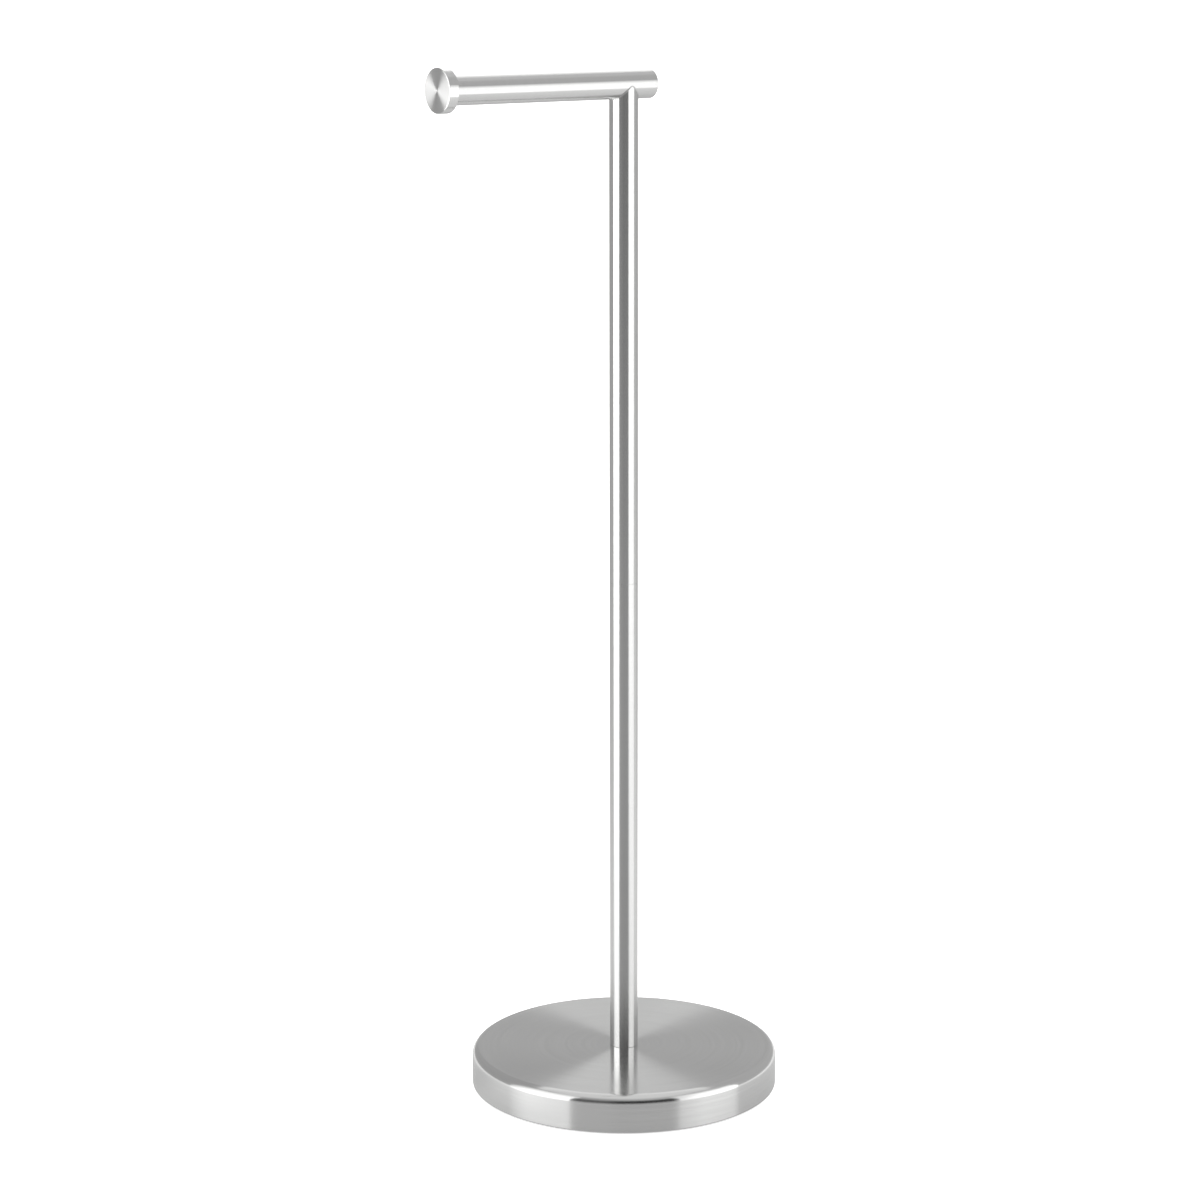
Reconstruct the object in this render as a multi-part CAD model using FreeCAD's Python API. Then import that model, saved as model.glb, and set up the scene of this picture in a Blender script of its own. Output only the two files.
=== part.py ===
import FreeCAD, Part
import math
import os

# Free-standing roll stand: a weighted round base, a pole in two screwed sections and a
# horizontal arm with a turned disc on its end. Millimetres, +Z up. The origin is on the floor,
# on the pole's axis, and the arm points along -X.

# Base cover, a spun sheet shell whose lip is hemmed in under the weight
base_dia = 175.0
base_height = 22.0          # floor to the top of the cover
cover_wall = 0.8
cover_edge_radius = 5.0     # outside radius of the top edge
hem_width = 4.8             # from the cover's outer wall to the lip's inner edge
hem_bend_radius = 0.9       # outside radius of the bend into the lip

# Cast weight under the cover
weight_side_gap = 0.3       # all round, between the weight and the cover's wall
weight_rim_width = 12.0
weight_hub_dia = 50.0
weight_rib_count = 6
weight_rib_width = 8.0
weight_pocket_depth = 9.0
weight_corner_radius = 4.0  # upright corners of the pockets
weight_floor_radius = 2.0   # where a pocket's wall meets its floor
weight_bottom_chamfer = 1.2

# Anti-slip pad glued to the weight, inside the hem
pad_thickness = 1.2
pad_side_gap = 0.7
pad_hole_dia = 30.0

# Screw that holds the pole to the base, with its washers
bolt_dia = 8.0
bolt_length = 30.0
bolt_head_dia = 13.0
bolt_head_height = 8.0
bolt_socket_across = 6.0
bolt_socket_depth = 4.0
bolt_tip_chamfer = 1.0
bolt_hole_gap = 0.5         # all round, in the weight and in the cover
flat_washer_dia = 16.0
flat_washer_thickness = 1.6
flat_washer_bore_gap = 0.2
spring_washer_dia = 14.8
spring_washer_thickness = 2.0
spring_washer_bore_gap = 0.1
spring_washer_slit = 1.0
spring_washer_slit_angle = 20.0
bolt_well_gap = 2.0         # all round, between the flat washer and the well
bolt_head_recess = 0.4      # head below the weight's underside

# Pole and arm tube
tube_dia = 16.0
tube_wall = 1.0
seam_height = 294.0         # floor to the joint between the pole's two sections
arm_axis_height = 570.0     # floor to the arm's centreline
arm_reach = 122.0           # pole axis to the end disc's outer face
arm_rear_overhang = 18.0    # pole axis to the arm's rear end
tube_edge_break = 0.3       # chamfer on the outside edges of cut tube ends
weld_gap = 0.05             # root gap between the coped pole and the arm

# Threaded plugs fixed in the tube ends, and the stud between the pole's sections
plug_gap = 0.02             # all round, between a plug and the tube it sits in
thread_gap = 0.05           # all round, between a screw and its threaded hole
plug_end_chamfer = 0.5
foot_plug_length = 22.0
joint_plug_length = 20.0
joint_plug_setback = 0.2    # lets the tube ends meet before the plugs do
stud_dia = 8.0
stud_length = 36.0
stud_end_chamfer = 1.0

# End disc, its stud and the plug it screws into
disc_dia = 24.0
disc_thickness = 6.0
disc_bevel_width = 0.5       # front bevel, measured across the face
disc_bevel_depth = 0.2       # and along the arm
disc_back_bevel = 0.3
disc_spigot_length = 2.5
disc_spigot_gap = 0.05      # all round, in the tube's bore
disc_spigot_chamfer = 0.3
disc_face_skin = 2.0        # metal left in front of the blind hole
disc_stud_dia = 6.0
disc_stud_end_gap = 0.5
disc_stud_engagement = 10.0  # length in the arm's plug
disc_stud_chamfer = 0.8
tip_plug_length = 14.0
tip_plug_gap = 0.3          # between the plug and the disc's spigot

# Cap pressed into the arm's rear end
rear_cap_length = 6.0
rear_cap_edge_break = 0.3

# Radii and levels that follow from the sizes above
base_r = base_dia / 2
tube_r = tube_dia / 2
bore_r = tube_r - tube_wall
plug_r = bore_r - plug_gap
hem_bottom = pad_thickness - cover_wall
weight_bottom = pad_thickness
weight_top = base_height - cover_wall
weight_r = base_r - cover_wall - weight_side_gap
well_depth = bolt_head_recess + bolt_head_height + spring_washer_thickness + flat_washer_thickness
well_top = weight_bottom + well_depth
bolt_seat = well_top - flat_washer_thickness - spring_washer_thickness
bolt_hole_r = bolt_dia / 2 + bolt_hole_gap
disc_back = arm_reach - disc_thickness
spigot_end = disc_back - disc_spigot_length
disc_hole_end = arm_reach - disc_face_skin
tip_plug_end = spigot_end - tip_plug_gap


def corner(radius, height):
    """A point of a turned profile: its radius and its height."""
    return FreeCAD.Vector(radius, 0, height)


def turn(edges):
    """Turn a closed profile round the Z axis."""
    face = Part.Face(Part.Wire(edges))
    return face.revolve(FreeCAD.Vector(0, 0, 0), FreeCAD.Vector(0, 0, 1), 360)


def turn_corners(corners):
    """Turn a straight-sided profile, given as (radius, height) corners."""
    points = [corner(radius, height) for radius, height in corners]
    pairs = zip(points, points[1:] + points[:1])
    return turn([Part.makeLine(start, end) for start, end in pairs])


def quarter_arc(centre, radius, start_degrees):
    """Edge of a quarter circle in the profile plane, anticlockwise from start_degrees."""
    angles = [math.radians(start_degrees + step) for step in (0, 45, 90)]
    ends = [centre + corner(radius * math.cos(a), radius * math.sin(a)) for a in angles]
    return Part.Arc(*ends).toShape()


def cylinder(radius, bottom, top):
    return Part.makeCylinder(radius, top - bottom, FreeCAD.Vector(0, 0, bottom))


def plug(outer_r, hole_r, bottom, top):
    """Round plug with a hole right through and both outside edges chamfered."""
    c = plug_end_chamfer
    return turn_corners([
        (hole_r, bottom), (outer_r - c, bottom), (outer_r, bottom + c),
        (outer_r, top - c), (outer_r - c, top), (hole_r, top),
    ])


def rod(radius, bottom, top, chamfer):
    """Solid rod with chamfered ends."""
    return turn_corners([
        (0, bottom), (radius - chamfer, bottom), (radius, bottom + chamfer),
        (radius, top - chamfer), (radius - chamfer, top), (0, top),
    ])


def along_arm(shape):
    """Lay a turned piece along the arm: its height becomes its distance from the pole."""
    shape.rotate(FreeCAD.Vector(0, 0, 0), FreeCAD.Vector(0, 1, 0), -90)
    shape.translate(FreeCAD.Vector(0, 0, arm_axis_height))
    return shape


def base_cover():
    inner_wall = base_r - cover_wall
    lip = base_r - hem_width
    top_bend = corner(base_r - cover_edge_radius, base_height - cover_edge_radius)
    hem_bend = corner(base_r - hem_bend_radius, hem_bottom + hem_bend_radius)
    hem_top = hem_bottom + cover_wall
    return turn([
        Part.makeLine(corner(lip, hem_bottom), corner(hem_bend.x, hem_bottom)),
        quarter_arc(hem_bend, hem_bend_radius, -90),
        Part.makeLine(corner(base_r, hem_bend.z), corner(base_r, top_bend.z)),
        quarter_arc(top_bend, cover_edge_radius, 0),
        Part.makeLine(corner(top_bend.x, base_height), corner(bolt_hole_r, base_height)),
        Part.makeLine(corner(bolt_hole_r, base_height), corner(bolt_hole_r, weight_top)),
        Part.makeLine(corner(bolt_hole_r, weight_top), corner(top_bend.x, weight_top)),
        quarter_arc(top_bend, cover_edge_radius - cover_wall, 0),
        Part.makeLine(corner(inner_wall, top_bend.z), corner(inner_wall, hem_bend.z)),
        quarter_arc(hem_bend, hem_bend_radius - cover_wall, -90),
        Part.makeLine(corner(hem_bend.x, hem_top), corner(lip, hem_top)),
        Part.makeLine(corner(lip, hem_top), corner(lip, hem_bottom)),
    ])


def weight_pockets():
    """The hollows between the hub, the rim and the ribs, with cast corners."""
    pocket_r = weight_r - weight_rim_width
    floor = weight_top - weight_pocket_depth
    hollow = cylinder(pocket_r, floor, weight_top)
    hollow = hollow.cut(cylinder(weight_hub_dia / 2, floor, weight_top))
    for index in range(weight_rib_count):
        rib = Part.makeBox(base_r, weight_rib_width, weight_pocket_depth)
        rib.translate(FreeCAD.Vector(0, -weight_rib_width / 2, floor))
        rib.rotate(FreeCAD.Vector(0, 0, 0), FreeCAD.Vector(0, 0, 1), index * 360 / weight_rib_count)
        hollow = hollow.cut(rib)
    pockets = []
    for pocket in hollow.Solids:
        upright = [e for e in pocket.Edges if e.BoundBox.ZLength > weight_pocket_depth / 2]
        pocket = pocket.makeFillet(weight_corner_radius, upright)
        bottom = [e for e in pocket.Edges if e.BoundBox.ZMax < floor + weight_floor_radius / 2]
        pockets.append(pocket.makeFillet(weight_floor_radius, bottom))
    return pockets


def base_weight():
    edge_r = cover_edge_radius - cover_wall
    edge = corner(weight_r - edge_r, weight_top - edge_r)
    well_r = flat_washer_dia / 2 + bolt_well_gap
    c = weight_bottom_chamfer
    body = turn([
        Part.makeLine(corner(well_r, weight_bottom), corner(weight_r - c, weight_bottom)),
        Part.makeLine(corner(weight_r - c, weight_bottom), corner(weight_r, weight_bottom + c)),
        Part.makeLine(corner(weight_r, weight_bottom + c), corner(weight_r, edge.z)),
        quarter_arc(edge, edge_r, 0),
        Part.makeLine(corner(edge.x, weight_top), corner(bolt_hole_r, weight_top)),
        Part.makeLine(corner(bolt_hole_r, weight_top), corner(bolt_hole_r, well_top)),
        Part.makeLine(corner(bolt_hole_r, well_top), corner(well_r, well_top)),
        Part.makeLine(corner(well_r, well_top), corner(well_r, weight_bottom)),
    ])
    for pocket in weight_pockets():
        body = body.cut(pocket)
    return body


def anti_slip_pad():
    pad_r = base_r - hem_width - pad_side_gap
    return cylinder(pad_r, 0, pad_thickness).cut(cylinder(pad_hole_dia / 2, 0, pad_thickness))


def base_bolt():
    head_r = bolt_head_dia / 2
    head_bottom = bolt_seat - bolt_head_height
    tip = bolt_seat + bolt_length
    c = bolt_tip_chamfer
    body = turn_corners([
        (0, head_bottom), (head_r - c, head_bottom), (head_r, head_bottom + c),
        (head_r, bolt_seat), (bolt_dia / 2, bolt_seat),
        (bolt_dia / 2, tip - c), (bolt_dia / 2 - c, tip), (0, tip),
    ])
    corner_r = bolt_socket_across / 2 / math.cos(math.radians(30))
    angles = [math.radians(60 * index) for index in range(7)]
    hexagon = Part.makePolygon([
        FreeCAD.Vector(corner_r * math.cos(a), corner_r * math.sin(a), head_bottom) for a in angles
    ])
    return body.cut(Part.Face(hexagon).extrude(FreeCAD.Vector(0, 0, bolt_socket_depth)))


def base_spring_washer():
    bore_radius = bolt_dia / 2 + spring_washer_bore_gap
    top = bolt_seat + spring_washer_thickness
    ring = cylinder(spring_washer_dia / 2, bolt_seat, top).cut(cylinder(bore_radius, bolt_seat, top))
    slit = Part.makeBox(spring_washer_dia, spring_washer_slit, 3 * spring_washer_thickness)
    slit.translate(FreeCAD.Vector(0, -spring_washer_slit / 2, -1.5 * spring_washer_thickness))
    slit.rotate(FreeCAD.Vector(0, 0, 0), FreeCAD.Vector(1, 0, 0), spring_washer_slit_angle)
    slit.translate(FreeCAD.Vector(0, 0, bolt_seat + spring_washer_thickness / 2))
    return ring.cut(slit)


def base_flat_washer():
    bore_radius = bolt_dia / 2 + flat_washer_bore_gap
    bottom = well_top - flat_washer_thickness
    return cylinder(flat_washer_dia / 2, bottom, well_top).cut(cylinder(bore_radius, bottom, well_top))


def pole_foot_plug():
    return plug(plug_r, bolt_dia / 2 + thread_gap, base_height, base_height + foot_plug_length)


def lower_pole_tube():
    return turn_corners([
        (bore_r, base_height), (tube_r, base_height), (tube_r, seam_height - tube_edge_break),
        (tube_r - tube_edge_break, seam_height), (bore_r, seam_height),
    ])


def lower_pole_top_plug():
    top = seam_height - joint_plug_setback
    return plug(plug_r, stud_dia / 2 + thread_gap, top - joint_plug_length, top)


def pole_joint_stud():
    half = stud_length / 2
    return rod(stud_dia / 2, seam_height - half, seam_height + half, stud_end_chamfer)


def upper_pole_bottom_plug():
    bottom = seam_height + joint_plug_setback
    return plug(plug_r, stud_dia / 2 + thread_gap, bottom, bottom + joint_plug_length)


def upper_pole_tube():
    tube = turn_corners([
        (bore_r, seam_height), (tube_r - tube_edge_break, seam_height),
        (tube_r, seam_height + tube_edge_break), (tube_r, arm_axis_height),
        (bore_r, arm_axis_height),
    ])
    saddle = cylinder(tube_r + weld_gap, -tube_dia, tube_dia)
    return tube.cut(along_arm(saddle))


def arm_tube():
    rear = -arm_rear_overhang
    return along_arm(turn_corners([
        (bore_r, rear), (tube_r - tube_edge_break, rear), (tube_r, rear + tube_edge_break),
        (tube_r, disc_back), (bore_r, disc_back),
    ]))


def arm_tip_plug():
    hole_r = disc_stud_dia / 2 + thread_gap
    return along_arm(plug(plug_r, hole_r, tip_plug_end - tip_plug_length, tip_plug_end))


def end_disc():
    disc_r = disc_dia / 2
    spigot_r = bore_r - disc_spigot_gap
    hole_r = disc_stud_dia / 2 + thread_gap
    return along_arm(turn_corners([
        (hole_r, spigot_end), (spigot_r - disc_spigot_chamfer, spigot_end),
        (spigot_r, spigot_end + disc_spigot_chamfer), (spigot_r, disc_back),
        (disc_r - disc_back_bevel, disc_back), (disc_r, disc_back + disc_back_bevel),
        (disc_r, arm_reach - disc_bevel_depth), (disc_r - disc_bevel_width, arm_reach),
        (0, arm_reach), (0, disc_hole_end), (hole_r, disc_hole_end),
    ]))


def end_disc_stud():
    start = tip_plug_end - disc_stud_engagement
    return along_arm(rod(disc_stud_dia / 2, start, disc_hole_end - disc_stud_end_gap, disc_stud_chamfer))


def arm_rear_cap():
    rear = -arm_rear_overhang
    return along_arm(rod(plug_r, rear, rear + rear_cap_length, rear_cap_edge_break))


pieces = [
    base_cover,
    base_weight,
    anti_slip_pad,
    base_bolt,
    base_spring_washer,
    base_flat_washer,
    pole_foot_plug,
    lower_pole_tube,
    lower_pole_top_plug,
    pole_joint_stud,
    upper_pole_bottom_plug,
    upper_pole_tube,
    arm_tube,
    arm_tip_plug,
    end_disc,
    end_disc_stud,
    arm_rear_cap,
]

os.makedirs("parts", exist_ok=True)
for make in pieces:
    shape = make()
    if not shape.isValid() or len(shape.Solids) != 1:
        raise ValueError(make.__name__ + " isn't one valid solid")
    shape.exportStep("parts/" + make.__name__ + ".step")
    print(make.__name__, round(shape.Volume, 1), "mm3")
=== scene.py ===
import math

import bmesh
import bpy
from mathutils import Matrix, Vector


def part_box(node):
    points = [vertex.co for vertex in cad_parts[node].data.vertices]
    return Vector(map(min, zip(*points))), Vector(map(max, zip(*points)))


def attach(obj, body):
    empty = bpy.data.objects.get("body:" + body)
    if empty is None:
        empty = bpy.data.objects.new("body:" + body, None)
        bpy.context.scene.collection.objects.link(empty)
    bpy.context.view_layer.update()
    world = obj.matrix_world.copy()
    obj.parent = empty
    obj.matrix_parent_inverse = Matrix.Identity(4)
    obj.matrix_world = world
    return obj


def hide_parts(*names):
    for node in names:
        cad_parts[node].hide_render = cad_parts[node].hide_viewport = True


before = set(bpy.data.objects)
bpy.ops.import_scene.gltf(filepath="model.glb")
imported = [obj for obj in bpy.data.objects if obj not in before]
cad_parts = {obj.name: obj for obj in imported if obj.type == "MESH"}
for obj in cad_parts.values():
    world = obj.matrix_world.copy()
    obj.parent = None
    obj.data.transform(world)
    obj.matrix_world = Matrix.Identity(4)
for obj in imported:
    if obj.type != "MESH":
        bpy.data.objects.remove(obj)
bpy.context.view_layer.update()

fullTurn = 2 * math.pi
mergeDistance = 0.000001


def deselectAll():
    bpy.ops.object.select_all(action="DESELECT")


def selectOnly(piece):
    deselectAll()
    piece.select_set(True)
    bpy.context.view_layer.objects.active = piece


# The primitive just added becomes a named piece with its place in its mesh.
def startPiece(name):
    piece = bpy.context.object
    piece.name = name
    piece.data.name = name
    bpy.ops.object.transform_apply(location=True, rotation=True, scale=True)
    return piece


def editMode():
    bpy.ops.object.mode_set(mode="EDIT")
    bpy.ops.mesh.select_mode(type="VERT")


def objectMode():
    bpy.ops.object.mode_set(mode="OBJECT")


# Selects only the verts or edges of the piece that pass the test.
def pick(piece, kind, test):
    bpy.ops.mesh.select_mode(type={"verts": "VERT", "edges": "EDGE"}[kind])
    bpy.ops.mesh.select_all(action="DESELECT")
    mesh = bmesh.from_edit_mesh(piece.data)
    for part in getattr(mesh, kind):
        if test(part):
            part.select_set(True)
    mesh.select_flush_mode()
    bmesh.update_edit_mesh(piece.data)


def applyModifier(piece, kind, **settings):
    selectOnly(piece)
    modifier = piece.modifiers.new(kind.title(), kind)
    for key, value in settings.items():
        setattr(modifier, key, value)
    bpy.ops.object.modifier_apply(modifier=modifier.name)


# Smooth shading whose flats stay flat right up to their rounded edges.
def smooth(piece, degrees=30):
    selectOnly(piece)
    bpy.ops.object.shade_smooth_by_angle(angle=math.radians(degrees))
    applyModifier(piece, "WEIGHTED_NORMAL", keep_sharp=True)


# Hands a finished piece to the frame: its material and the CAD nodes it stands for.
def finishPiece(piece, material, slot, *nodes):
    piece.data.materials.clear()
    piece.data.materials.append(material)
    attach(piece, "root")
    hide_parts(*nodes)
    print("made", piece.name, len(piece.data.polygons), "faces")
    return piece


# Extrudes one vertex along (radius, height) corners, then rounds the corners that have a radius.
def drawProfile(name, corners, rounds, segments, closed=False):
    first = Vector((corners[0][0], 0, corners[0][1]))
    bpy.ops.mesh.primitive_plane_add(size=0.001, location=first)       # merged to one vertex below
    piece = startPiece(name)
    editMode()
    bpy.ops.mesh.merge(type="CENTER")
    here = first
    for radius, height in corners[1:]:
        there = Vector((radius, 0, height))
        bpy.ops.mesh.extrude_region_move(TRANSFORM_OT_translate={"value": there - here})
        here = there
    if closed:
        pick(piece, "verts", lambda v: min((v.co - first).length, (v.co - here).length) < mergeDistance)
        bpy.ops.mesh.edge_face_add()
    for (radius, height), bend in rounds.items():
        place = Vector((radius, 0, height))
        pick(piece, "verts", lambda v: (v.co - place).length < mergeDistance)
        bpy.ops.mesh.bevel(offset=bend, segments=segments, affect="VERTICES", profile=0.5)
    return piece


# Spins the profile round the Z axis and closes the seam and the poles.
def spinProfile(piece, steps):
    bpy.ops.mesh.select_all(action="SELECT")
    bpy.ops.mesh.spin(steps=steps, angle=fullTurn, center=(0, 0, 0), axis=(0, 0, 1))
    bpy.ops.mesh.select_all(action="SELECT")
    bpy.ops.mesh.remove_doubles(threshold=mergeDistance)
    bpy.ops.mesh.normals_make_consistent(inside=False)
    objectMode()
    return piece


# A piece turned round Z is laid along the arm: its height becomes its distance from the pole.
def layAlongArm(piece):
    piece.rotation_euler = (0, -math.pi / 2, 0)
    piece.location = (0, 0, armHeight)
    selectOnly(piece)
    bpy.ops.object.transform_apply(location=True, rotation=True, scale=True)


# The stand's sizes, from the boxes of its CAD pieces.
coverLow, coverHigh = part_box("base_cover")
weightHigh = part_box("base_weight")[1]
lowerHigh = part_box("lower_pole_tube")[1]
armLow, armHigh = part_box("arm_tube")
discLow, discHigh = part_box("end_disc")
baseRadius = coverHigh.x
baseTop = coverHigh.z
hemBottom = coverLow.z
sheetWall = baseTop - weightHigh.z
tubeRadius = lowerHigh.x
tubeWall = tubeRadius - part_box("arm_rear_cap")[1].y
seamHeight = lowerHigh.z
armHeight = (armLow.z + armHigh.z) / 2
armRear = armHigh.x
armFront = -armLow.x         # distances along the arm, from the pole's axis
discFront = -discLow.x
discRadius = discHigh.y


def makeMaterial(name):
    material = bpy.data.materials.new(name)
    material.use_nodes = True
    nodes = material.node_tree.nodes
    print("material", name)
    return material, nodes, material.node_tree.links, nodes["Principled BSDF"]


def addNode(nodes, kind, x, y, **settings):
    node = nodes.new(kind)
    node.location = (x, y)
    for key, value in settings.items():
        setattr(node, key, value)
    return node


def addMath(nodes, links, operation, x, y, first, second=None):
    node = addNode(nodes, "ShaderNodeMath", x, y, operation=operation)
    for socket, value in zip(node.inputs, (first, second)):
        if value is None:
            continue
        if isinstance(value, (int, float)):
            socket.default_value = value
        else:
            links.new(value, socket)
    return node.outputs[0]


# Object coordinates turned so that Z is the piece's own axis, split into axis, radius and vector.
def grainCoordinates(nodes, links, alongArm):
    coordinates = addNode(nodes, "ShaderNodeTexCoord", -1800, 0)
    mapping = addNode(nodes, "ShaderNodeMapping", -1600, 0)
    if alongArm:
        mapping.inputs["Rotation"].default_value = (0, math.pi / 2, 0)
        mapping.inputs["Location"].default_value = (-armHeight, 0, 0)
    links.new(coordinates.outputs["Object"], mapping.inputs["Vector"])
    split = addNode(nodes, "ShaderNodeSeparateXYZ", -1400, 0)
    links.new(mapping.outputs["Vector"], split.inputs["Vector"])
    xx = addMath(nodes, links, "MULTIPLY", -1200, 100, split.outputs["X"], split.outputs["X"])
    yy = addMath(nodes, links, "MULTIPLY", -1200, -60, split.outputs["Y"], split.outputs["Y"])
    radius = addMath(nodes, links, "SQRT", -900, 0, addMath(nodes, links, "ADD", -1050, 0, xx, yy))
    return split, radius


# Noise drawn out round the piece's axis: fine across the grain and slow along it.
def grainNoise(nodes, links, split, radius, y, acrossScale, alongScale, detail, falloff):
    across = addMath(nodes, links, "SUBTRACT", -750, y, split.outputs["Z"], radius)
    vector = addNode(nodes, "ShaderNodeCombineXYZ", -400, y)
    parts = ((across, acrossScale), (split.outputs["X"], alongScale), (split.outputs["Y"], alongScale))
    for row, (value, scale) in enumerate(parts):
        links.new(addMath(nodes, links, "MULTIPLY", -600, y - 40 * row, value, scale), vector.inputs[row])
    noise = addNode(nodes, "ShaderNodeTexNoise", -200, y)
    noise.inputs["Scale"].default_value = 1.0
    noise.inputs["Detail"].default_value = detail
    noise.inputs["Roughness"].default_value = falloff
    links.new(vector.outputs["Vector"], noise.inputs["Vector"])
    return noise.outputs["Fac"]


# How far the vector reaches along the direction.
def measure(nodes, links, vector, direction, x, y):
    node = addNode(nodes, "ShaderNodeVectorMath", x, y, operation="DOT_PRODUCT")
    node.inputs[1].default_value = direction
    links.new(vector, node.inputs[0])
    return node.outputs["Value"]


# Gives low where the value is fromLow, high where it's fromHigh, and holds them beyond. The ends
# set here suit a noise.
def mapTo(nodes, links, value, x, y, low, high, fromLow=0.3, fromHigh=0.7):
    node = addNode(nodes, "ShaderNodeMapRange", x, y)
    node.inputs["From Min"].default_value = fromLow
    node.inputs["From Max"].default_value = fromHigh
    node.inputs["To Min"].default_value = low
    node.inputs["To Max"].default_value = high
    links.new(value, node.inputs["Value"])
    return node.outputs["Result"]


# The first value where the factor is 0, the second where it's 1.
def mixValues(nodes, links, x, first, second, factor):
    node = addNode(nodes, "ShaderNodeMix", x, 0, data_type="FLOAT")
    links.new(factor, node.inputs["Factor"])
    for socket, value in ((node.inputs["A"], first), (node.inputs["B"], second)):
        if isinstance(value, (int, float)):
            socket.default_value = value
        else:
            links.new(value, socket)
    return node.outputs["Result"]


# Stainless with its grain running round the piece's own axis.
def brushedSteel(name, settings, alongArm=False):
    material, nodes, links, shader = makeMaterial(name)
    split, radius = grainCoordinates(nodes, links, alongArm)
    fine, broad = (
        grainNoise(
            nodes, links, split, radius, y, settings[grain + "Grain"], settings[grain + "Along"],
            settings[grain + "Detail"], settings["falloff"],
        ) for grain, y in (("fine", 300), ("broad", -100))
    )
    shade = mapTo(nodes, links, broad, 100, 500, 0.0, 1.0)
    colour = addNode(nodes, "ShaderNodeMix", 300, 500, data_type="RGBA")
    colour.inputs["A"].default_value = (*settings["darkColour"], 1)
    colour.inputs["B"].default_value = (*settings["colour"], 1)
    links.new(shade, colour.inputs["Factor"])
    links.new(colour.outputs["Result"], shader.inputs["Base Color"])
    roughness = mapTo(nodes, links, fine, 100, 200, *settings["roughness"])
    for level, (value, start, end, factor) in enumerate(settings.get("zones", [])):
        position = radius if value == "radius" else split.outputs["Z"]
        inZone = mapTo(nodes, links, position, -400, 700 + 200 * level, 1.0, factor, start, end)
        roughness = addMath(nodes, links, "MULTIPLY", 300 + 150 * level, 300, roughness, inZone)
    links.new(roughness, shader.inputs["Roughness"])
    bump = addNode(nodes, "ShaderNodeBump", 300, -200)
    bump.inputs["Strength"].default_value = settings["bump"]
    bump.inputs["Distance"].default_value = settings["bumpDepth"]
    links.new(fine, bump.inputs["Height"])
    links.new(bump.outputs["Normal"], shader.inputs["Normal"])
    axis = "X" if alongArm else "Z"
    tangent = addNode(nodes, "ShaderNodeTangent", 300, -400, direction_type="RADIAL", axis=axis)
    links.new(tangent.outputs["Tangent"], shader.inputs["Tangent"])
    shader.inputs["Metallic"].default_value = 1.0
    shader.inputs["Anisotropic"].default_value = settings["anisotropy"]
    shader.inputs["Anisotropic Rotation"].default_value = settings["streakTurn"]
    return material


tubeFinish = {
    "colour": (0.655, 0.655, 0.65),
    "darkColour": (0.625, 0.625, 0.62),
    "roughness": (0.225, 0.245),
    "anisotropy": 1.0,
    "streakTurn": 0.25,      # a quarter turn, so highlights spread across the grain
    "fineGrain": 5200.0,     # scratches per metre across the grain
    "fineAlong": 40.0,       # and along it
    "fineDetail": 3.0,
    "broadGrain": 1800.0,
    "broadAlong": 15.0,
    "broadDetail": 2.0,
    "falloff": 0.6,          # how much each finer layer of the noise counts
    "bump": 0.04,
    "bumpDepth": 0.00002,
}
steelTube = brushedSteel("steelTube", tubeFinish)
steelArm = brushedSteel("steelArm", tubeFinish, alongArm=True)


# A dull material: patches of two shades under a rough skin, of sand or of foam cells.
def mottled(name, finish):
    material, nodes, links, shader = makeMaterial(name)
    coordinates = addNode(nodes, "ShaderNodeTexCoord", -900, 0)
    skin = addNode(nodes, finish["skinNode"], -600, 200)
    skin.inputs["Scale"].default_value = finish["skinScale"]
    skin.inputs["Detail"].default_value = finish["skinDetail"]
    patches = addNode(nodes, "ShaderNodeTexNoise", -600, -200)
    patches.inputs["Scale"].default_value = finish["patchScale"]
    patches.inputs["Detail"].default_value = finish["patchDetail"]
    for texture in (skin, patches):
        links.new(coordinates.outputs["Object"], texture.inputs["Vector"])
    ramp = addNode(nodes, "ShaderNodeValToRGB", -300, 200)
    shades = (finish["darkColour"], finish["colour"])
    for stop, position, shade in zip(ramp.color_ramp.elements, finish["patchEdges"], shades):
        stop.position = position
        stop.color = (*shade, 1)
    links.new(patches.outputs["Fac"], ramp.inputs["Fac"])
    links.new(ramp.outputs["Color"], shader.inputs["Base Color"])
    roughness = mapTo(nodes, links, patches.outputs["Fac"], -300, -100, *finish["roughness"])
    links.new(roughness, shader.inputs["Roughness"])
    bump = addNode(nodes, "ShaderNodeBump", -300, -350)
    bump.inputs["Strength"].default_value = finish["bump"]
    bump.inputs["Distance"].default_value = finish["bumpDepth"]
    links.new(skin.outputs[finish["skinOutput"]], bump.inputs["Height"])
    links.new(bump.outputs["Normal"], shader.inputs["Normal"])
    shader.inputs["Metallic"].default_value = finish["metallic"]
    return material


coverShape = {
    "edgeRadius": 0.005,
    "hemWidth": 0.0048,
    "hemBend": 0.0009,
    "holeRadius": 0.0045,
    "middleRing": 0.5,       # an extra ring on the flat top, as a share of the radius
    "roundSteps": 12,
    "steps": 288,
}
bendStart = baseRadius - coverShape["edgeRadius"]
sideTop = baseTop - coverShape["edgeRadius"]
spunFinish = dict(
    tubeFinish, fineGrain=4200.0, broadGrain=700.0, roughness=(0.235, 0.26),
    zones=[                                                       # which value, from, to, roughness factor
        ("radius", 0.07, 0.02, 0.6),                              # finer near the middle
        ("radius", bendStart, bendStart + 0.0015, 0.55),          # the rolled edge is burnished
        ("height", sideTop + 0.0012, sideTop - 0.0005, 1.6),      # the side wall is coarser
    ],
)
steelSpun = brushedSteel("steelSpun", spunFinish)


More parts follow.
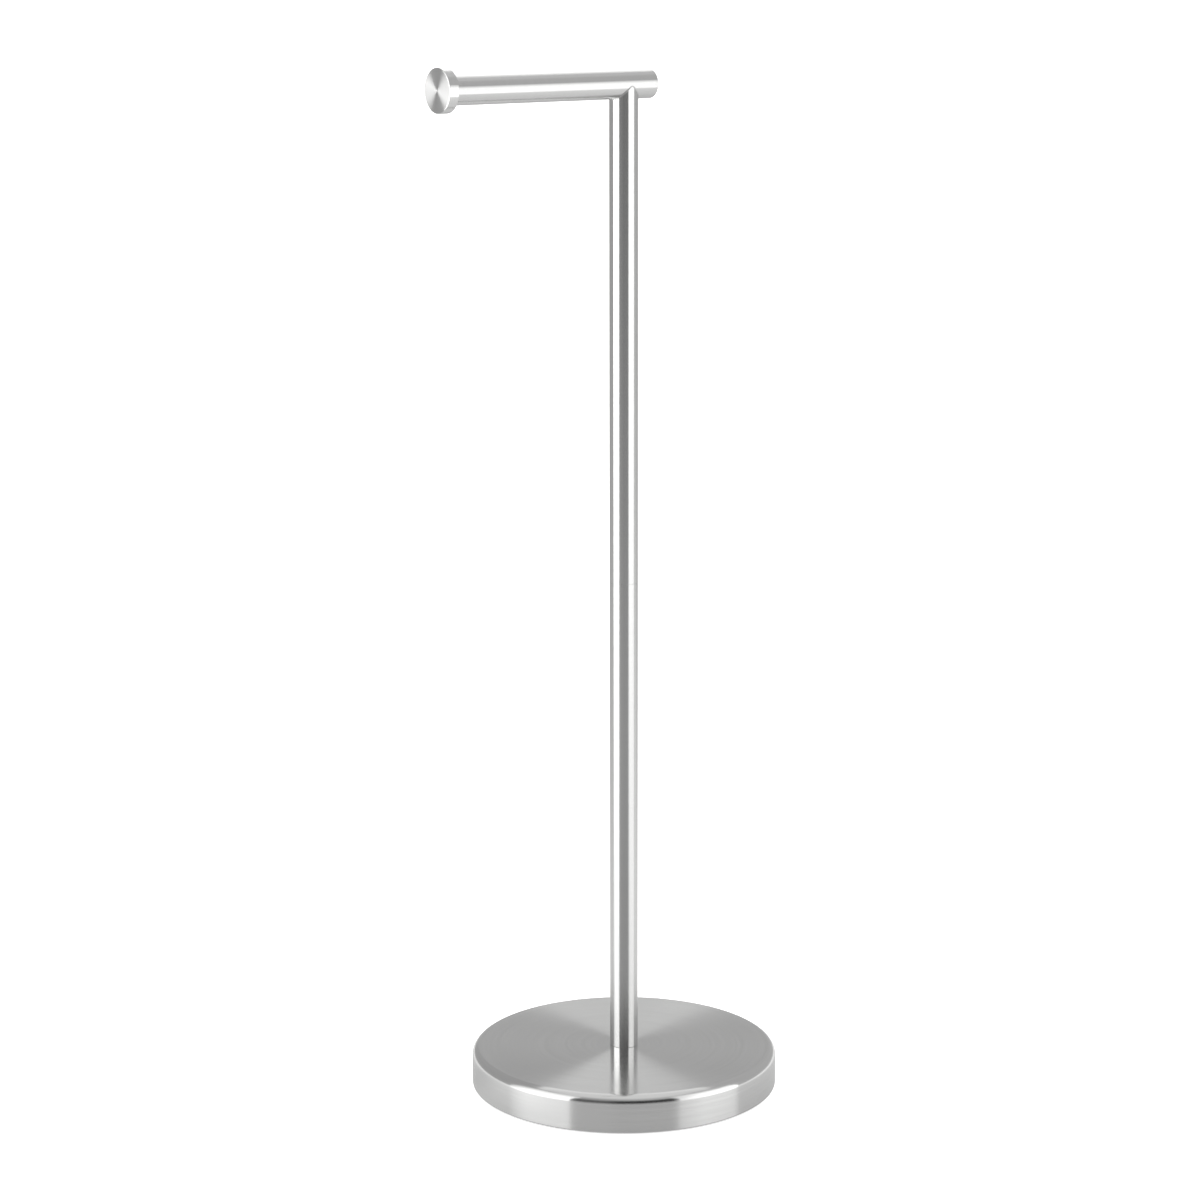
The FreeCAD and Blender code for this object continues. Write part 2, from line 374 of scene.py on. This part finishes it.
def buildBaseCover():
    shape = coverShape
    lip = baseRadius - shape["hemWidth"]
    corners = [
        (shape["holeRadius"], baseTop),
        (tubeRadius, baseTop),
        (baseRadius * shape["middleRing"], baseTop),
        (baseRadius, baseTop),
        (baseRadius, hemBottom),
        (lip, hemBottom),
    ]
    rounds = {corners[3]: shape["edgeRadius"], corners[4]: shape["hemBend"]}
    cover = drawProfile("baseCover", corners, rounds, segments=shape["roundSteps"])
    spinProfile(cover, shape["steps"])
    applyModifier(cover, "SOLIDIFY", thickness=sheetWall, offset=-1)
    smooth(cover)
    return finishPiece(cover, steelSpun, "spun_stainless", "base_cover")


padShape = {"holeRadius": 0.015, "edgeSoftness": 0.0004, "roundSteps": 4, "steps": 192}
foamFinish = {                   # closed-cell foam with a pebbled skin
    "skinNode": "ShaderNodeTexVoronoi",
    "skinOutput": "Distance",
    "skinScale": 1400.0,
    "skinDetail": 0.0,
    "patchScale": 90.0,
    "patchDetail": 5.0,
    "patchEdges": (0.3, 0.8),
    "darkColour": (0.018, 0.018, 0.019),
    "colour": (0.045, 0.045, 0.047),
    "roughness": (0.75, 0.95),
    "bump": 0.6,
    "bumpDepth": 0.00015,
    "metallic": 0.0,
}


def buildPad():
    shape = padShape
    low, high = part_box("anti_slip_pad")
    hole = shape["holeRadius"]
    soft = shape["edgeSoftness"]
    corners = [(hole, high.z), (hole, low.z), (high.x, low.z), (high.x, high.z)]
    rounds = {corners[1]: soft, corners[2]: soft}
    pad = drawProfile("antiSlipPad", corners, rounds, closed=True, segments=shape["roundSteps"])
    spinProfile(pad, shape["steps"])
    smooth(pad)
    return finishPiece(pad, mottled("foamPad", foamFinish), "pad_foam", "anti_slip_pad")


tubeShape = {
    "seamBreak": 0.00012,        # the joint half way up is barely visible
    "footBreak": 0.00025,
    "rearBreak": 0.0006,         # the arm's rear end is rounded more
    "breakSteps": 3,
    "sides": 192,
    "saddleGap": 0.00005,        # between the pole's coped end and the arm
    "saddleSides": 384,
    "saddleReach": 6,            # the guide's length, in tube radii
    "weldBead": 0.00035,
    "beadSteps": 3,
}


# A cylinder without its ends, cut into levels along its length.
def openTube(name, low, high, levels):
    bpy.ops.mesh.primitive_cylinder_add(
        vertices=tubeShape["sides"], radius=tubeRadius, depth=high - low, end_fill_type="NOTHING",
        location=(0, 0, (low + high) / 2),
    )
    tube = startPiece(name)
    editMode()
    for level in levels:
        bpy.ops.mesh.select_all(action="SELECT")
        bpy.ops.mesh.bisect(plane_co=(0, 0, level), plane_no=(0, 0, 1))
    objectMode()
    return tube


# Selects the edges on the tube's outside whose heights pass the test.
def pickOuter(tube, isAt):
    middle = tubeRadius - tubeWall / 2
    pick(tube, "edges", lambda e: all(
        isAt(v.co.z) and Vector((v.co.x, v.co.y)).length > middle for v in e.verts
    ))


# Takes the sharpness off the tube's outside edge at one end.
def breakEdge(tube, level, width):
    editMode()
    pickOuter(tube, lambda z: abs(z - level) < mergeDistance)
    bpy.ops.mesh.bevel(offset=width, segments=tubeShape["breakSteps"], affect="EDGES", profile=0.5)
    objectMode()


def buildLowerPole():
    tube = openTube("lowerPoleTube", baseTop, seamHeight, [])
    applyModifier(tube, "SOLIDIFY", thickness=tubeWall, offset=-1)
    breakEdge(tube, seamHeight, tubeShape["seamBreak"])
    breakEdge(tube, baseTop, tubeShape["footBreak"])
    smooth(tube)
    return finishPiece(tube, steelTube, "tube_stainless", "lower_pole_tube")


# Runs a fine bead round the outside of the coped end, where the pole is welded to the arm.
def addWeldBead(tube, top):
    selectOnly(tube)
    editMode()
    pickOuter(tube, lambda z: z > top - mergeDistance)
    bpy.ops.mesh.duplicate()
    bpy.ops.mesh.separate(type="SELECTED")
    objectMode()
    bead = [o for o in bpy.context.selected_objects if o is not tube][0]
    selectOnly(bead)
    bead.vertex_groups.clear()
    bpy.ops.object.convert(target="CURVE")
    bpy.context.object.data.bevel_depth = tubeShape["weldBead"]
    bpy.context.object.data.bevel_resolution = tubeShape["beadSteps"]
    bpy.ops.object.convert(target="MESH")
    tube.select_set(True)
    bpy.context.view_layer.objects.active = tube
    bpy.ops.object.join()


def buildUpperPole():
    shape = tubeShape
    top = armHeight - 2 * tubeRadius         # cut short here, then drawn up to the arm
    tube = openTube("upperPoleTube", seamHeight, top, [top - tubeRadius])
    applyModifier(tube, "SOLIDIFY", thickness=tubeWall, offset=-1)
    breakEdge(tube, seamHeight, shape["seamBreak"])
    bpy.ops.mesh.primitive_cylinder_add(
        vertices=shape["saddleSides"], radius=tubeRadius + shape["saddleGap"],
        depth=shape["saddleReach"] * tubeRadius, location=(0, 0, armHeight), rotation=(0, math.pi / 2, 0),
    )
    saddle = startPiece("saddleGuide")
    rim = tube.vertex_groups.new(name="rim")
    rim.add([v.index for v in tube.data.vertices if v.co.z > top - mergeDistance], 1.0, "REPLACE")
    applyModifier(
        tube, "SHRINKWRAP", target=saddle, vertex_group="rim", wrap_method="PROJECT",
        use_project_x=False, use_project_y=False, use_project_z=True,
        use_positive_direction=True, use_negative_direction=False,
    )
    bpy.data.objects.remove(saddle)
    addWeldBead(tube, top)
    smooth(tube)
    return finishPiece(tube, steelTube, "tube_stainless", "upper_pole_tube")


def buildArm():
    tube = openTube("armTube", -armRear, armFront, [])
    applyModifier(tube, "SOLIDIFY", thickness=tubeWall, offset=-1)
    breakEdge(tube, -armRear, tubeShape["rearBreak"])
    layAlongArm(tube)
    smooth(tube)
    return finishPiece(tube, steelArm, "tube_stainless", "arm_tube")


discShape = {
    "bevelWidth": 0.0005,
    "bevelDepth": 0.0002,
    "bevelSoftness": 0.00012,
    "backBevel": 0.0003,
    "spigotLength": 0.0025,
    "spigotGap": 0.00005,
    "holeRadius": 0.00305,
    "faceSkin": 0.002,           # metal left between the blind hole and the face
    "centreMark": 0.0005,
    "roundSteps": 4,
    "smoothAngle": 20,
    "steps": 256,
}
discFinish = dict(
    tubeFinish, fineGrain=6500.0, broadGrain=2400.0, roughness=(0.33, 0.36),
    zones=[("radius", discRadius - 0.0006, discRadius - 0.0002, 0.5)],        # the bevel is polished
)
steelDisc = brushedSteel("steelDisc", discFinish, alongArm=True)


def buildEndDisc():
    shape = discShape
    spigot = tubeRadius - tubeWall - shape["spigotGap"]
    spigotEnd = armFront - shape["spigotLength"]
    mark = shape["centreMark"]
    corners = [
        (0, discFront - shape["faceSkin"]),
        (shape["holeRadius"], discFront - shape["faceSkin"]),
        (shape["holeRadius"], spigotEnd),
        (spigot, spigotEnd),
        (spigot, armFront),
        (discRadius, armFront),
        (discRadius, discFront - shape["bevelDepth"]),
        (discRadius - shape["bevelWidth"], discFront),
        (mark, discFront),
        (0, discFront - mark / 2),
    ]
    soft = shape["bevelSoftness"]
    rounds = {corners[5]: shape["backBevel"], corners[6]: soft, corners[7]: soft}
    disc = drawProfile("endDisc", corners, rounds, segments=shape["roundSteps"])
    spinProfile(disc, shape["steps"])
    layAlongArm(disc)
    smooth(disc, shape["smoothAngle"])
    return finishPiece(disc, steelDisc, "turned_stainless", "end_disc")


capShape = {
    "edgeBreak": 0.0003,
    "dish": 0.0004,
    "dishRim": 0.7,              # where the dish starts and is full, as shares of the radius
    "dishFloor": 0.65,
    "roundSteps": 3,
    "smoothAngle": 20,
    "steps": 160,
}


def buildRearCap():
    shape = capShape
    low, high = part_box("arm_rear_cap")
    radius = high.y
    inner = -low.x
    outer = -high.x
    floor = outer + shape["dish"]
    corners = [
        (0, inner),
        (radius, inner),
        (radius, outer),
        (radius * shape["dishRim"], outer),
        (radius * shape["dishFloor"], floor),
        (0, floor),
    ]
    cap = drawProfile("armRearCap", corners, {corners[2]: shape["edgeBreak"]}, segments=shape["roundSteps"])
    spinProfile(cap, shape["steps"])
    layAlongArm(cap)
    smooth(cap, shape["smoothAngle"])
    return finishPiece(cap, steelDisc, "turned_stainless", "arm_rear_cap")


pieces = [
    buildBaseCover(),
    buildPad(),
    buildLowerPole(),
    buildUpperPole(),
    buildArm(),
    buildEndDisc(),
    buildRearCap(),
]
print("visible pieces ready")


plugFinish = dict(tubeFinish, colour=(0.50, 0.50, 0.51), darkColour=(0.42, 0.42, 0.43), anisotropy=0.6)
platedFinish = dict(
    tubeFinish, colour=(0.60, 0.62, 0.66), darkColour=(0.54, 0.55, 0.58), anisotropy=0.2,
    fineGrain=1500.0, broadGrain=300.0, roughness=(0.22, 0.32),
)
ironFinish = {                   # sand-cast iron under black oil: coarse bumps and patchy gloss
    "skinNode": "ShaderNodeTexNoise",
    "skinOutput": "Fac",
    "skinScale": 900.0,
    "skinDetail": 6.0,
    "patchScale": 60.0,
    "patchDetail": 4.0,
    "patchEdges": (0.35, 0.75),
    "darkColour": (0.035, 0.035, 0.037),
    "colour": (0.11, 0.108, 0.105),
    "roughness": (0.45, 0.75),
    "bump": 0.5,
    "bumpDepth": 0.0002,
    "metallic": 0.6,
}
ironWeight = mottled("ironWeight", ironFinish)
steelPlug = brushedSteel("steelPlug", plugFinish)
steelTipPlug = brushedSteel("steelTipPlug", plugFinish, alongArm=True)
steelPlated = brushedSteel("steelPlated", platedFinish)
steelPlatedArm = brushedSteel("steelPlatedArm", platedFinish, alongArm=True)
carried = {                      # the hidden pieces keep their CAD shape
    "base_weight": ironWeight,
    "base_bolt": steelPlated,
    "base_spring_washer": steelPlated,
    "base_flat_washer": steelPlated,
    "pole_foot_plug": steelPlug,
    "lower_pole_top_plug": steelPlug,
    "pole_joint_stud": steelPlated,
    "upper_pole_bottom_plug": steelPlug,
    "arm_tip_plug": steelTipPlug,
    "end_disc_stud": steelPlatedArm,
}
for nodeName, material in carried.items():
    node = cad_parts[nodeName]
    node.data.materials.clear()
    node.data.materials.append(material)
print("CAD nodes carried:", len(carried))


cameraSetup = {
    "azimuth": -36.635,      # degrees round the stand, 0 looking along +Y
    "pitch": 11.674,         # degrees above the horizon
    "roll": -0.101,
    "distance": 1.8098,
    "sideways": 0.01335,     # how far the stand's axis is moved right in view, at its own distance
    "upwards": 0.00129,
    "lens": 96.69,
    "sensor": 36,
}


def buildCamera():
    setup = cameraSetup
    turn = math.radians(setup["azimuth"])
    lift = math.radians(setup["pitch"])
    tilt = math.radians(setup["roll"])
    back = Vector((math.sin(turn) * math.cos(lift), -math.cos(turn) * math.cos(lift), math.sin(lift)))
    level = Vector((math.cos(turn), math.sin(turn), 0))
    upright = back.cross(level)
    right = level * math.cos(tilt) + upright * math.sin(tilt)
    up = upright * math.cos(tilt) - level * math.sin(tilt)
    bpy.ops.object.camera_add()
    camera = bpy.context.object
    camera.name = "camera"
    aim = Vector((0, 0, armHeight / 2)) - right * setup["sideways"] - up * setup["upwards"]
    camera.matrix_world = Matrix.Translation(aim + back * setup["distance"]) @ Matrix(
        (right, up, back)
    ).transposed().to_4x4()
    camera.data.sensor_width = setup["sensor"]
    camera.data.lens = setup["lens"]
    bpy.context.scene.camera = camera
    return back


towardsCamera = buildCamera()
ahead = Vector((towardsCamera.x, towardsCamera.y, 0)).normalized()       # level, to the camera
side = Vector((-ahead.y, ahead.x, 0))                                    # level, to the camera's right
print("camera ready")


# Which panels light which pieces. The seen floor is lit by none of them.
litBy = {}
for group in ("base", "upper", "arm"):
    litBy[group] = bpy.data.collections.new("lit_" + group)
for piece in pieces + [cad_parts[name] for name in carried]:
    litBy["base" if piece.name == "baseCover" else "upper"].objects.link(piece)
    if piece.name in ("armTube", "endDisc", "armRearCap"):
        litBy["arm"].objects.link(piece)


floorSetup = {
    "size": 60.0,
    "colour": (0.86, 0.86, 0.86),
    "roughness": 0.9,
    "lift": 0.6,                 # lifts the floor to white, so that the shadow stays faint
    "gap": 0.0003,
}


# The pale floor that is seen.
def buildFloor():
    setup = floorSetup
    material, nodes, links, shader = makeMaterial("paleFloor")
    shader.inputs["Base Color"].default_value = (*setup["colour"], 1)
    shader.inputs["Roughness"].default_value = setup["roughness"]
    shader.inputs["Specular IOR Level"].default_value = 0.0
    shader.inputs["Emission Color"].default_value = (1, 1, 1, 1)
    shader.inputs["Emission Strength"].default_value = setup["lift"]
    deselectAll()
    bpy.ops.mesh.primitive_plane_add(size=setup["size"], location=(0, 0, -setup["gap"]))
    floor = startPiece("floor")
    floor.data.materials.append(material)
    floor.visible_glossy = False


# A glow is: from, to, strength at each, by the distance from the pole. A span is where a direction
# starts to count and where it counts fully, from -1 straight back to 1 straight to the camera.
tableSetup = {
    "width": 3.4,
    "front": 2.7,
    "back": 1.6,
    "roughness": 0.06,
    # The foot glows are lower next to the stand: painted shade of the stand on the table.
    "leftFoot": (baseRadius, baseRadius + 0.1, 0.53, 0.86),
    "leftFall": (0.25, 1.0, 0.90, 0.55),
    "nearLeftFoot": (baseRadius, baseRadius + 0.1, 0.66, 1.22),
    "rightFoot": (baseRadius, baseRadius + 0.1, 0.53, 0.90),
    "frontFoot": (baseRadius, 0.14, 0.57, 0.73),
    "frontEdge": (0.15, 0.19, 1.0, 0.0),         # where the glow at the foot ends
    "frontRise": (0.19, 0.6, 0.28, 0.64),
    "frontFade": (0.9, 2.6, 1.0, 0.42),
    "backFall": (0.4, 1.0, 0.80, 0.45),
    "frontSpan": (0.55, 0.9),
    "nearSpan": (0.0, 0.35),
    "backSpan": (-0.75, -0.4),
    "rightSpan": (-0.02, 0.02),                  # metres to the right of the pole
}


# A glossy black table top that shows only as a reflection. Its white glow is painted: a painted reflection
# of a lit floor, with painted shade of the stand by its foot, and dimmer in front.
def buildTable():
    setup = tableSetup
    depth = setup["front"] + setup["back"]
    deselectAll()
    bpy.ops.mesh.primitive_plane_add(
        size=1, location=ahead * (setup["front"] - depth / 2),
        rotation=(0, 0, math.radians(cameraSetup["azimuth"])),
    )
    bpy.context.object.scale = (setup["width"], depth, 1)
    table = startPiece("table")
    material, nodes, links, shader = makeMaterial("paintedGlowTable")
    table.data.materials.append(material)
    shader.inputs["Base Color"].default_value = (0, 0, 0, 1)
    shader.inputs["Roughness"].default_value = setup["roughness"]
    shader.inputs["Emission Color"].default_value = (1, 1, 1, 1)
    coordinates = addNode(nodes, "ShaderNodeTexCoord", -1100, 0)
    reach = addNode(nodes, "ShaderNodeVectorMath", -900, 0, operation="LENGTH")
    links.new(coordinates.outputs["Object"], reach.inputs[0])
    distance = reach.outputs["Value"]
    out, aside = (
        measure(nodes, links, coordinates.outputs["Object"], direction, -900, y)
        for direction, y in ((ahead, -200), (side, -400))
    )
    forward = addMath(nodes, links, "DIVIDE", -700, -200, out, distance)

    def byDistance(name, y):
        start, end, low, high = setup[name]
        return mapTo(nodes, links, distance, -700, y, low, high, start, end)

    inFront = mapTo(nodes, links, forward, -700, -400, 0.0, 1.0, *setup["frontSpan"])
    behind = mapTo(nodes, links, forward, -700, -600, 1.0, 0.0, *setup["backSpan"])
    isRight = mapTo(nodes, links, aside, -700, -1000, 0.0, 1.0, *setup["rightSpan"])
    isNear = mapTo(nodes, links, forward, -700, -1200, 0.0, 1.0, *setup["nearSpan"])
    rise, fade = byDistance("frontRise", 200), byDistance("frontFade", 400)
    frontGlow = addMath(nodes, links, "MULTIPLY", -600, 200, rise, fade)
    frontFoot, frontEdge = byDistance("frontFoot", 0), byDistance("frontEdge", 800)
    frontGlow = mixValues(nodes, links, -500, frontGlow, frontFoot, frontEdge)
    leftFoot, leftFall = byDistance("leftFoot", -200), byDistance("leftFall", 1200)
    leftGlow = addMath(nodes, links, "MINIMUM", -600, 1200, leftFoot, leftFall)
    leftGlow = mixValues(nodes, links, -650, leftGlow, byDistance("nearLeftFoot", -400), isNear)
    sideGlow = mixValues(nodes, links, -600, leftGlow, byDistance("rightFoot", -300), isRight)
    backGlow = addMath(nodes, links, "MINIMUM", -600, 600, sideGlow, byDistance("backFall", 1000))
    glow = mixValues(nodes, links, -400, sideGlow, frontGlow, inFront)
    glow = mixValues(nodes, links, -300, glow, backGlow, behind)
    links.new(glow, shader.inputs["Emission Strength"])
    table.visible_camera = False
    table.visible_diffuse = False
    table.visible_shadow = False
    litBy["base"].objects.link(table)


panelSetup = {                   # fades: axis, full glow at, least glow at, share left
    "rightPanel": {
        "centre": (0.69, -1.0, 0.56), "size": (1.30, 1.12), "facing": (0, 1, 0),
        "glow": 1.32, "lights": "upper",
        "fades": [("Z", 0.76, 1.12, 0.2), ("Z", 0.28, 0.0, 0.7)],
    },
    "leftPanel": {
        "centre": (-1.0, 0.24, 0.65), "size": (1.00, 1.30), "facing": (1, 0, 0),
        "glow": 2.6, "lights": "upper",
        "fades": [("Z", 0.60, 1.25, 0.42)],
    },
    "rightLowPanel": {
        "centre": (0.69, -1.0, 0.55), "size": (1.30, 1.10), "facing": (0, 1, 0),
        "glow": 1.42, "lights": "base",
        "fades": [("Z", 0.15, 0.60, 0.66), ("Z", 0.60, 1.10, 0.6), ("X", 0.40, 0.04, 0.4)],
    },
    "leftLowPanel": {
        "centre": (-1.0, 0.24, 0.62), "size": (1.00, 1.24), "facing": (1, 0, 0),
        "glow": 1.42, "lights": "base",
        "fades": [("Z", 0.20, 0.70, 0.72), ("Z", 0.70, 1.24, 0.6), ("Y", 0.40, 0.74, 0.3)],
    },
    "backPanel": {
        "centre": (0.66, 0.88, 1.35), "size": (1.20, 1.00), "facing": (-0.6, -0.8, 0),
        "glow": 1.12, "lights": "arm",
        "fades": [],
    },
}


# A soft panel whose glow falls off towards some of its edges.
def buildPanel(name, centre, size, facing, glow, lights, fades):
    turn = Vector(facing).to_track_quat("-Z", "Y").to_euler()
    bpy.ops.object.light_add(type="AREA", location=centre, rotation=turn)
    panel = bpy.context.object
    panel.name = name
    panel.data.shape = "RECTANGLE"
    panel.data.size, panel.data.size_y = size
    panel.data.energy = math.pi * size[0] * size[1]      # glow of 1 all over
    panel.visible_camera = False
    panel.light_linking.receiver_collection = litBy[lights]
    panel.data.use_nodes = True
    nodes, links = panel.data.node_tree.nodes, panel.data.node_tree.links
    place = addNode(nodes, "ShaderNodeNewGeometry", -600, 0)
    split = addNode(nodes, "ShaderNodeSeparateXYZ", -400, 0)
    links.new(place.outputs["Position"], split.inputs["Vector"])
    nodes["Emission"].inputs["Strength"].default_value = glow
    strength = glow
    for axis, fullAt, leastAt, share in fades:
        fade = mapTo(nodes, links, split.outputs[axis], -200, 0, 1.0, share, fullAt, leastAt)
        strength = addMath(nodes, links, "MULTIPLY", 0, 0, fade, strength)
        links.new(strength, nodes["Emission"].inputs["Strength"])


# The spans say where each part of the room begins and is full: by how far a direction points to the
# camera, to its right, or up.
worldSetup = {
    "background": 1.0,
    "leftSide": 0.52,
    "rightSide": 0.62,
    "sideSpan": (-0.3, 0.3),
    "leftCorner": 0.46,
    "rightCorner": 0.56,
    "cornerSpan": (-0.25, 0.0),
    "front": 0.03,
    "frontLeft": 0.13,
    "frontLeftSpan": (-0.25, -0.05),
    "frontSpan": (math.cos(math.radians(42)), math.cos(math.radians(36))),
    "lowSpan": (0.45, 0.68),
    "frontBelow": 0.30,
    "belowSpan": (-0.12, -0.02),
    "backdrop": 0.53,
    "backSpan": (-0.995, -0.94),
    "fanGlow": 1.08,             # a light overhead that narrows to a point towards the back
    "fanPoint": math.cos(math.radians(19.6)),                                # how far back it starts
    "fanWidth": (math.tan(math.radians(33)), math.tan(math.radians(36))),    # where its sides fade out
    "fanHeight": (0.36, 0.42),
    "fanDepth": (-0.3, 0.0),
    "overhead": 0.90,
    "overheadSpan": (0.80, 0.90),
}


# White behind the stand, and for reflections a grey room with a dark front and a pale backdrop.
def buildWorld():
    setup = worldSetup
    world = bpy.data.worlds.new("studio")
    bpy.context.scene.world = world
    world.use_nodes = True
    nodes, links = world.node_tree.nodes, world.node_tree.links
    output = nodes["World Output"]
    room = nodes["Background"]
    coordinates = addNode(nodes, "ShaderNodeTexCoord", -1600, 0)
    heading = coordinates.outputs["Generated"]
    flat = addNode(nodes, "ShaderNodeVectorMath", -1400, 0, operation="MULTIPLY")
    flat.inputs[1].default_value = (1, 1, 0)
    links.new(heading, flat.inputs[0])
    level = addNode(nodes, "ShaderNodeVectorMath", -1200, 0, operation="NORMALIZE")
    links.new(flat.outputs["Vector"], level.inputs[0])
    forward = measure(nodes, links, level.outputs["Vector"], ahead, -1000, 0)
    sideways = measure(nodes, links, level.outputs["Vector"], side, -1000, -200)
    split = addNode(nodes, "ShaderNodeSeparateXYZ", -1400, -300)
    links.new(heading, split.inputs["Vector"])
    upwards = split.outputs["Z"]

    def inSpan(name, value, x, y, start=0.0, end=1.0):
        return mapTo(nodes, links, value, x, y, start, end, *setup[name])

    isLow = inSpan("lowSpan", upwards, -800, -300, 1.0, 0.0)
    darkFront = addMath(nodes, links, "MULTIPLY", -500, 0, inSpan("frontSpan", forward, -800, 0), isLow)
    isBelow = inSpan("belowSpan", upwards, -500, -500, 1.0, 0.0)
    frontShade = inSpan("frontLeftSpan", sideways, -800, -500, setup["frontLeft"], setup["front"])
    frontShade = mixValues(nodes, links, -300, frontShade, setup["frontBelow"], isBelow)

    outward = measure(nodes, links, heading, side, -1000, -1700)
    outward = addMath(nodes, links, "ABSOLUTE", -800, -1700, outward)
    inward = measure(nodes, links, heading, ahead, -1000, -1500)
    inward = addMath(nodes, links, "ADD", -800, -1500, inward, setup["fanPoint"])
    spread = addMath(nodes, links, "DIVIDE", -600, -1500, outward, inward)
    inFan = inSpan("fanWidth", spread, -400, -1500, 1.0, 0.0)
    isBehind = inSpan("fanDepth", forward, -600, -1700, 1.0, 0.0)
    inFan = addMath(nodes, links, "MULTIPLY", -400, -1700, inFan, isBehind)
    inFan = addMath(nodes, links, "MULTIPLY", -300, -1500, inFan, inSpan("fanHeight", upwards, -800, -900))

    corner = inSpan("sideSpan", sideways, -600, -900, setup["leftCorner"], setup["rightCorner"])
    surround = inSpan("sideSpan", sideways, -600, -1100, setup["leftSide"], setup["rightSide"])
    isCorner = inSpan("cornerSpan", forward, -800, -600, 1.0, 0.0)
    isBack = inSpan("backSpan", forward, -800, -700, 1.0, 0.0)
    isOverhead = inSpan("overheadSpan", upwards, -800, -1300)
    shade = mixValues(nodes, links, -300, surround, corner, isCorner)
    shade = mixValues(nodes, links, -200, shade, setup["backdrop"], isBack)
    shade = mixValues(nodes, links, -100, shade, setup["fanGlow"], inFan)
    shade = mixValues(nodes, links, 0, shade, frontShade, darkFront)
    shade = mixValues(nodes, links, 100, shade, setup["overhead"], isOverhead)
    links.new(shade, room.inputs["Strength"])
    room.inputs["Color"].default_value = (1, 1, 1, 1)
    lens = addNode(nodes, "ShaderNodeBackground", 200, -200)
    lens.inputs["Strength"].default_value = setup["background"]
    lens.inputs["Color"].default_value = (1, 1, 1, 1)
    path = addNode(nodes, "ShaderNodeLightPath", 200, 400)
    choose = addNode(nodes, "ShaderNodeMixShader", 500, 0)
    links.new(path.outputs["Is Camera Ray"], choose.inputs["Fac"])
    links.new(room.outputs["Background"], choose.inputs[1])
    links.new(lens.outputs["Background"], choose.inputs[2])
    links.new(choose.outputs["Shader"], output.inputs["Surface"])


fillSetup = {"energy": 2.3, "angle": 100, "lean": (12, -8)}          # degrees


# A very soft sun for the floor and the dull pieces, which the steel doesn't mirror.
def buildFill():
    lean = [math.radians(a) for a in fillSetup["lean"]]
    bpy.ops.object.light_add(type="SUN", rotation=(*lean, 0))
    fill = bpy.context.object
    fill.name = "fill"
    fill.data.energy = fillSetup["energy"]
    fill.data.angle = math.radians(fillSetup["angle"])
    fill.visible_glossy = False


buildFloor()
buildTable()
for panelName, panel in panelSetup.items():
    buildPanel(panelName, **panel)
buildWorld()
buildFill()
bpy.context.scene.view_settings.view_transform = "Standard"
print("studio ready")
